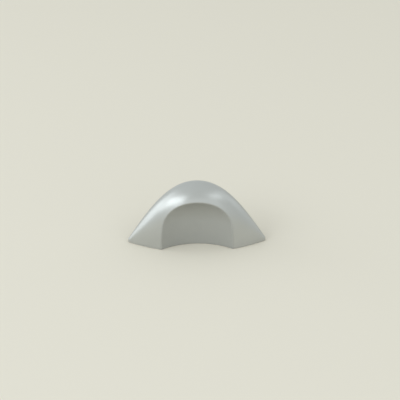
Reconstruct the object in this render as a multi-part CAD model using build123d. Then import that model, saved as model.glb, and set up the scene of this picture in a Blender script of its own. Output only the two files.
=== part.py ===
from build123d import *
import os
from math import comb, radians, tan

# A small arched furniture handle, cast in one piece. It stands on its mounting face, which is z = 0.
# X runs from tip to tip, the finger recess opens towards -Y, and the origin lies midway between
# the two screw holes. Lengths are in millimetres.

# Outer form
LENGTH = 50.0  # tip to tip
WIDTH = 17.3  # front to rear across the middle, before the recess is cut
HEIGHT = 24.1  # mounting face to crest
FLANK_ANGLE = 57.3  # slope of the flanks where they start at the tips, in degrees
TIP_HEIGHT = 1.2  # the flanks end this high at the tips
TIP_WIDTH = 1.4  # the footprint ends this wide at the tips
TIP_RADIUS = 0.5  # rounding of the end of each tip
FOOT_CHAMFER = 0.25  # all round the mounting face

# Cross-section, as shares of the half width and of the height at each place along X
FACE_LOWER = 0.33  # a low value starts to lean the front and rear faces lower down
FACE_UPPER = 0.70  # a low value makes the shoulders slope more
CROWN_BREADTH = 0.58  # a high value makes the crown flatter

# Finger recess
RECESS_WEB = 2.3  # from the line of the screws to the deepest place of the recess
RECESS_RADIUS = 21.4  # its curve as seen from above, at the mounting face
RECESS_UPRIGHT = 9.8  # height of its upright lower part
COVE_RADIUS = 12.3  # the cove above that, which leans out over the finger
LIP_RADIUS = 0.45  # rounding of the edge round the recess

# Screw holes in the mounting face
SCREW_SPACING = 32.0
THREAD_SIZE = 4.0
THREAD_PITCH = 0.7
HOLE_ROOF = 2.6  # metal left over the end of each hole
DRILL_POINT_ANGLE = 118.0

# A rounding takes at most this share of the edge that it ends on
ROUNDING_SHARE = 0.45

# Control sections of the outer form stand this many spans apart from a tip to the middle
SPANS = 4

HALF_LENGTH = LENGTH / 2


def control_places():
    """Where the control sections stand along X."""
    return [HALF_LENGTH * step / SPANS - HALF_LENGTH for step in range(SPANS + 1)]


def control_half_widths():
    """Control values of the footprint, each side of which is a parabola from tip to tip."""
    bulge = (WIDTH - TIP_WIDTH) / 2
    falls = [(SPANS - step) * (SPANS - step - 1) / (SPANS * (SPANS - 1)) for step in range(SPANS + 1)]
    return [WIDTH / 2 - bulge * fall for fall in falls]


def control_heights():
    """Control values of the front outline: a flank that starts straight and runs into a level crest."""
    rise = HALF_LENGTH / SPANS * tan(radians(FLANK_ANGLE))
    return [TIP_HEIGHT, TIP_HEIGHT + rise, TIP_HEIGHT + 2 * rise, HEIGHT, HEIGHT]


def crest(x):
    """Height of the front outline at x."""
    share = 1 - abs(x) / HALF_LENGTH
    return sum(
        comb(SPANS, step) * share**step * (1 - share) ** (SPANS - step) * height
        for step, height in enumerate(control_heights())
    )


def outer_form():
    """The handle before it is cut: one smooth patch from tip to middle, mirrored to all four quarters."""
    section = [(1, 0), (1, FACE_LOWER), (1, FACE_UPPER), (CROWN_BREADTH, 1), (0, 1)]
    net = [
        [(x, -half * out, height * up) for out, up in section]
        for x, half, height in zip(control_places(), control_half_widths(), control_heights())
    ]
    quarter = Face.make_bezier_surface(net)
    front = [quarter, mirror(quarter, about=Plane.YZ)]
    sides = front + [mirror(face, about=Plane.XZ) for face in front]
    outlines = ShapeList(edge for face in sides for edge in face.edges())
    ends, foot_lines = [], []
    for x in (-HALF_LENGTH, HALF_LENGTH):
        foot_line = Edge.make_line((x, -TIP_WIDTH / 2, 0), (x, TIP_WIDTH / 2, 0))
        ends.append(Face(Wire([*outlines.filter_by_position(Axis.X, x, x), foot_line])))
        foot_lines.append(foot_line)
    foot = Face(Wire([*outlines.filter_by_position(Axis.Z, 0, 0), *foot_lines]))
    return Solid(Shell(Face.sew_faces([*sides, foot, *ends])[0]))


def recess():
    """The cutter for the finger recess, turned about an upright axis in front of the handle."""
    axis_y = -RECESS_WEB - RECESS_RADIUS
    cove_foot = (-RECESS_WEB, RECESS_UPRIGHT)
    cove_top = (-RECESS_WEB - COVE_RADIUS, RECESS_UPRIGHT + COVE_RADIUS)
    with BuildSketch(Plane.YZ) as profile:
        with BuildLine():
            Polyline(cove_foot, (-RECESS_WEB, 0), (axis_y, 0), (axis_y, cove_top[1]), cove_top)
            RadiusArc(cove_foot, cove_top, -COVE_RADIUS)
        make_face()
    return revolve(profile.sketch, axis=Axis((0, axis_y, 0), (0, 0, 1)))


def screw_hole():
    """The cutter for one hole to be tapped: a chamfered mouth, a straight wall and a drill point."""
    mouth, radius = THREAD_SIZE / 2, (THREAD_SIZE - THREAD_PITCH) / 2
    depth = crest(SCREW_SPACING / 2 + radius) - HOLE_ROOF
    point = radius / tan(radians(DRILL_POINT_ANGLE / 2))
    stand = (Align.CENTER, Align.CENTER, Align.MIN)
    wall = Cylinder(radius, depth, align=stand)
    chamfer = Cone(mouth, radius, mouth - radius, align=stand)
    return wall + chamfer + Pos(0, 0, depth) * Cone(radius, 0, point, align=stand)


def shared_edges(first, second):
    """The edges that two faces have in common."""
    return first.edges().filter_by(lambda edge: any(edge.is_same(other) for other in second.edges()))


def round_tips(body):
    """Rounds the end of each tip, all round but for its foot."""
    rims = [
        edge
        for end in body.faces().filter_by(Plane.YZ)
        for edge in end.edges()
        if edge.center().Z > 0
    ]
    return fillet(rims, min(TIP_RADIUS, ROUNDING_SHARE * min(TIP_WIDTH, TIP_HEIGHT)))


def cut_recess(body):
    """Cuts the finger recess and rounds its edge."""
    cut = body - recess()
    hollow = cut.faces().filter_by(GeomType.CYLINDER) + cut.faces().filter_by(GeomType.REVOLUTION)
    front = cut.faces().filter_by(GeomType.BEZIER).sort_by(Axis.Y)[:2]
    lip = [edge for face in hollow for side in front for edge in shared_edges(face, side)]
    return fillet(lip, LIP_RADIUS)


def chamfer_foot(body):
    """Breaks the edge all round the mounting face."""
    foot = body.faces().filter_by(Plane.XY).sort_by(Axis.Z)[0]
    return chamfer(foot.outer_wire().edges(), min(FOOT_CHAMFER, ROUNDING_SHARE * TIP_WIDTH))


def handle():
    """The whole casting."""
    body = chamfer_foot(cut_recess(round_tips(outer_form())))
    hole = screw_hole()
    for x in (-SCREW_SPACING / 2, SCREW_SPACING / 2):
        body -= Pos(x, 0, 0) * hole
    return body


os.makedirs("parts", exist_ok=True)
export_step(handle(), "parts/handle.step")
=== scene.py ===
from math import cos, pi, radians, sin, tan, tau

import bpy
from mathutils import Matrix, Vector


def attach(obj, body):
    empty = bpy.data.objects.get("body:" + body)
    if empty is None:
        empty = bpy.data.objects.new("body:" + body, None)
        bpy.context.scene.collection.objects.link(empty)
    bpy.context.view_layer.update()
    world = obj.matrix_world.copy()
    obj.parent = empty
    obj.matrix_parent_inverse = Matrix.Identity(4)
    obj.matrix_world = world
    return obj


# A satin-chromed furniture handle standing on a pale floor in soft studio light.
# Lengths are in metres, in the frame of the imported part: Z up, X from tip to tip, and the finger
# recess faces -Y. Directions round the handle are given by azimuth, from -Y towards +X, and by
# elevation above the floor, both in degrees.

# Camera
LENS_MM = 100.0
SENSOR_MM = 36.0
IMAGE_SIDE = 400  # pixels
VIEW_AZIMUTH = -1.23
VIEW_ELEVATION = 30.0
PIXELS_PER_METRE = 2734.5  # at the origin of the part
ORIGIN_PIXEL = (196.8, 240.5)  # where the origin of the part shows, from the image's top left

# Light. A radiance of 1 shows as white.
SKY_RADIANCE = 0.78
SKY_TINT = (0.935, 0.985, 1.0)

# Soft lamps, all at one distance. Their widths and heights are angles in degrees, as seen from
# the handle. The key makes the bright place at the left of the crest, and the next three make
# its tail along the left ridge. The fills make the faint bright place at the right.
LAMP_DISTANCE = 1.2
LAMP_TINT = (0.87, 0.935, 1.0)
LAMPS = {
    "key": {"azimuth": -50.0, "elevation": 29.0, "width": 40.0, "height": 18.0, "radiance": 3.0},
    "key_left": {"azimuth": -91.0, "elevation": 28.0, "width": 42.0, "height": 17.0, "radiance": 1.55},
    "over_key": {"azimuth": -75.0, "elevation": 42.0, "width": 80.0, "height": 9.0, "radiance": 0.65},
    "side": {"azimuth": -102.0, "elevation": 8.0, "width": 48.0, "height": 28.0, "radiance": 1.45},
    "fill": {"azimuth": 54.0, "elevation": 40.0, "width": 32.0, "height": 12.0, "radiance": 1.35},
    "far_fill": {"azimuth": 88.0, "elevation": 40.0, "width": 30.0, "height": 16.0, "radiance": 0.56},
    "right": {"azimuth": 112.0, "elevation": 22.0, "width": 36.0, "height": 24.0, "radiance": 0.35},
    "front": {"azimuth": 12.0, "elevation": 20.0, "width": 70.0, "height": 24.0, "radiance": 0.45},
}

# Floor
FLOOR_RADIUS = 12.0
FLOOR_SIDES = 96
FLOOR_COLOUR = (0.755, 0.705, 0.60)

# Metal. Satin plating gives back part of the light matt.
METALLIC = 0.5
METAL_COLOURS = ((0.455, 0.46, 0.435), (0.485, 0.49, 0.465))
METAL_ROUGHNESS = (0.28, 0.31)
TONE_SIZE = 0.012  # the tone wanders over about this length
GLOSS_SIZE = 0.004  # and the gloss over this
GRAIN_SIZE = 0.00012
GRAIN_DEPTH = 0.0000015
NOISE_SPAN = (0.3, 0.7)  # most noise values lie between these two
NOISE_DETAIL = 2.0

# The recess, which is rougher than outside, and whose colour is darkened there as painted shade
RECESS_AXIS_Y = -0.0237
RECESS_RADIUS = 0.0214
RECESS_UPRIGHT = 0.0098
COVE_RADIUS = 0.0123
RECESS_FADE = 0.0006  # the recess's roughness and painted shade end this far behind its surface
RECESS_PAINTED_SHADE = 0.87  # painted shade: the recess's colour is this times the colour outside
RECESS_ROUGHNESS = 0.2  # more than outside

# Threads in the two screw holes
SCREW_SPACING = 0.032
HOLE_RADIUS = 0.00165
THREAD_PITCH = 0.0007
THREAD_DEPTH = 0.00018
THREAD_ROOT = 0.00002  # the base of the ridge lies this deep in the wall of the hole
THREAD_HALF_BASE = 0.45  # of the pitch
THREAD_LENGTH = 0.0084
THREAD_START = 0.0006
THREAD_STEPS = 40  # per turn


def direction(azimuth, elevation):
    """Unit vector towards an azimuth and an elevation in degrees."""
    a, e = radians(azimuth), radians(elevation)
    return Vector((sin(a) * cos(e), -cos(a) * cos(e), sin(e)))


def add_camera():
    """The camera at the photograph's viewing angle, turned so that the origin shows at its pixel."""
    data = bpy.data.cameras.new("camera")
    data.lens, data.sensor_width = LENS_MM, SENSOR_MM
    camera = bpy.data.objects.new("camera", data)
    bpy.context.scene.collection.objects.link(camera)
    back = direction(VIEW_AZIMUTH, VIEW_ELEVATION)
    right = Vector((0, 0, 1)).cross(back).normalized()
    up = back.cross(right)
    distance = LENS_MM / SENSOR_MM * IMAGE_SIDE / PIXELS_PER_METRE
    off_right = (IMAGE_SIDE / 2 - ORIGIN_PIXEL[0]) / PIXELS_PER_METRE
    off_up = (ORIGIN_PIXEL[1] - IMAGE_SIDE / 2) / PIXELS_PER_METRE
    camera.location = back * distance
    aim = right * off_right + up * off_up
    camera.rotation_euler = (aim - camera.location).to_track_quat("-Z", "Y").to_euler()
    bpy.context.scene.camera = camera


def add_sky():
    """An even light from all sides."""
    world = bpy.data.worlds.new("sky")
    world.use_nodes = True
    background = world.node_tree.nodes["Background"]
    background.inputs["Color"].default_value = (*SKY_TINT, 1)
    background.inputs["Strength"].default_value = SKY_RADIANCE
    bpy.context.scene.world = world


def add_softbox(name, azimuth, elevation, width, height, radiance):
    """A rectangular soft light that faces the handle."""
    data = bpy.data.lights.new(name, "AREA")
    data.shape = "RECTANGLE"
    data.size, data.size_y = (2 * LAMP_DISTANCE * tan(radians(angle) / 2) for angle in (width, height))
    data.energy = radiance * pi * data.size * data.size_y
    data.color = LAMP_TINT
    lamp = bpy.data.objects.new(name, data)
    bpy.context.scene.collection.objects.link(lamp)
    lamp.location = direction(azimuth, elevation) * LAMP_DISTANCE
    lamp.rotation_euler = lamp.location.to_track_quat("Z", "Y").to_euler()


def add_node(material, kind, **values):
    """A new node with some of its inputs set, by name, to a value or another node's output."""
    node = material.node_tree.nodes.new(kind)
    for name, value in values.items():
        feed(material, node.inputs[name.replace("_", " ")], value)
    return node


def feed(material, socket, value):
    """Sets an input to a value, or links it to another node's output."""
    if isinstance(value, bpy.types.NodeSocket):
        material.node_tree.links.new(value, socket)
    else:
        socket.default_value = value


def calculate(material, operation, *values):
    """The output of a Math node."""
    node = add_node(material, "ShaderNodeMath")
    node.operation = operation
    for socket, value in zip(node.inputs, values):
        feed(material, socket, value)
    return node.outputs[0]


def noise(material, place, size):
    """Soft noise from 0 to 1, whose features are about as long as size."""
    node = add_node(material, "ShaderNodeTexNoise", Vector=place, Scale=1 / size, Detail=NOISE_DETAIL)
    return node.outputs["Fac"]


def spread(material, value, start, end, low, high):
    """The value's range from start to end, mapped to low to high."""
    node = add_node(material, "ShaderNodeMapRange", Value=value)
    for name, limit in (("From Min", start), ("From Max", end), ("To Min", low), ("To Max", high)):
        node.inputs[name].default_value = limit
    return node.outputs["Result"]


def floor_material():
    """Pale matt paper."""
    material = bpy.data.materials.new("pale_floor")
    material.use_nodes = True
    shader = material.node_tree.nodes["Principled BSDF"]
    shader.inputs["Base Color"].default_value = (*FLOOR_COLOUR, 1)
    shader.inputs["Roughness"].default_value = 1.0
    shader.inputs["Specular IOR Level"].default_value = 0.0
    return material


def add_floor():
    """A wide round floor at the height that the handle stands on."""
    bpy.ops.mesh.primitive_circle_add(vertices=FLOOR_SIDES, radius=FLOOR_RADIUS, fill_type="NGON")
    floor = bpy.context.object
    floor.name = "floor"
    floor.data.materials.append(floor_material())


def recess_share(material, place):
    """1 on the surface of the recess, and 0 on the rest of the handle."""
    parts = add_node(material, "ShaderNodeSeparateXYZ", Vector=place).outputs
    across = calculate(material, "SUBTRACT", parts["Y"], RECESS_AXIS_Y)
    squares = [calculate(material, "POWER", side, 2.0) for side in (parts["X"], across)]
    distance = calculate(material, "SQRT", calculate(material, "ADD", *squares))
    rise = calculate(material, "MAXIMUM", calculate(material, "SUBTRACT", parts["Z"], RECESS_UPRIGHT), 0.0)
    reach = calculate(material, "SUBTRACT", COVE_RADIUS**2, calculate(material, "POWER", rise, 2.0))
    cove = calculate(material, "SQRT", calculate(material, "MAXIMUM", reach, 0.0))
    wall = calculate(material, "ADD", cove, RECESS_RADIUS - COVE_RADIUS)
    return spread(material, calculate(material, "SUBTRACT", distance, wall), 0.0, RECESS_FADE, 1.0, 0.0)


def metal_colour(material, place, recess):
    """The tone, which wanders a little over the surface, with painted shade that makes it darker in the
    recess.
    """
    tone = add_node(material, "ShaderNodeValToRGB", Fac=noise(material, place, TONE_SIZE))
    for stop, position, colour in zip(tone.color_ramp.elements, NOISE_SPAN, METAL_COLOURS):
        stop.position, stop.color = position, (*colour, 1)
    # Painted shade: the colour in the recess is scaled down against the colour outside.
    shaded_tone = add_node(material, "ShaderNodeVectorMath")
    shaded_tone.operation = "SCALE"
    feed(material, shaded_tone.inputs["Vector"], tone.outputs["Color"])
    feed(material, shaded_tone.inputs["Scale"], spread(material, recess, 0.0, 1.0, 1.0, RECESS_PAINTED_SHADE))
    return shaded_tone.outputs["Vector"]


def metal_roughness(material, place, recess):
    """The roughness, which wanders too and is higher in the recess."""
    gloss = spread(material, noise(material, place, GLOSS_SIZE), *NOISE_SPAN, *METAL_ROUGHNESS)
    return calculate(material, "ADD", gloss, calculate(material, "MULTIPLY", recess, RECESS_ROUGHNESS))


def chrome_material():
    """Satin chrome over a fine blasted surface, rougher in the recess, where painted shade also darkens
    its colour.
    """
    material = bpy.data.materials.new("satin_chrome_plating")
    material.use_nodes = True
    shader = material.node_tree.nodes["Principled BSDF"]
    shader.inputs["Metallic"].default_value = METALLIC
    place = add_node(material, "ShaderNodeTexCoord").outputs["Object"]
    recess = recess_share(material, place)
    feed(material, shader.inputs["Base Color"], metal_colour(material, place, recess))
    feed(material, shader.inputs["Roughness"], metal_roughness(material, place, recess))
    heights = noise(material, place, GRAIN_SIZE)
    grain = add_node(material, "ShaderNodeBump", Distance=GRAIN_DEPTH, Height=heights)
    feed(material, shader.inputs["Normal"], grain.outputs["Normal"])
    return material


def thread_mesh():
    """A helical ridge, as a closed solid whose base lies inside the wall of the hole."""
    steps = int(THREAD_LENGTH / THREAD_PITCH * THREAD_STEPS)
    section = [(THREAD_ROOT, -THREAD_HALF_BASE), (THREAD_ROOT, THREAD_HALF_BASE), (-THREAD_DEPTH, 0.0)]
    points, faces = [], []
    for step in range(steps + 1):
        turn = tau * step / THREAD_STEPS
        for out, along in section:
            r = HOLE_RADIUS + out
            z = THREAD_START + (step / THREAD_STEPS + along) * THREAD_PITCH
            points.append((r * cos(turn), r * sin(turn), z))
    for step in range(steps):
        for i in range(3):
            a, b = 3 * step + i, 3 * step + (i + 1) % 3
            faces.append((a, b, b + 3, a + 3))
    faces += [(2, 1, 0), (3 * steps, 3 * steps + 1, 3 * steps + 2)]
    mesh = bpy.data.meshes.new("thread")
    mesh.from_pydata(points, [], faces)
    mesh.validate()
    return mesh


def add_threads(metal):
    """The threads of the two screw holes."""
    for name, side in (("left_thread", -1), ("right_thread", 1)):
        thread = bpy.data.objects.new(name, thread_mesh())
        bpy.context.scene.collection.objects.link(thread)
        thread.location.x = side * SCREW_SPACING / 2
        thread.data.materials.append(metal)
        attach(thread, "root")


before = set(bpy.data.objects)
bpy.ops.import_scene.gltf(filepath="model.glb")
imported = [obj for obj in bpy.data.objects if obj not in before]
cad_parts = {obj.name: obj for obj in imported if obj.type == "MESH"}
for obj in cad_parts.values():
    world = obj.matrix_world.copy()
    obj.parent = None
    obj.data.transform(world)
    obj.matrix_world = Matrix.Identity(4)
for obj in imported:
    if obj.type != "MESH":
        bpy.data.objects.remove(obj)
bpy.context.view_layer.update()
add_camera()
add_sky()
for lamp_name, values in LAMPS.items():
    add_softbox(lamp_name, **values)
add_floor()
chrome = chrome_material()
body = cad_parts["handle"]
body.data.materials.clear()
body.data.materials.append(chrome)
add_threads(chrome)
bpy.context.scene.view_settings.view_transform = "Standard"
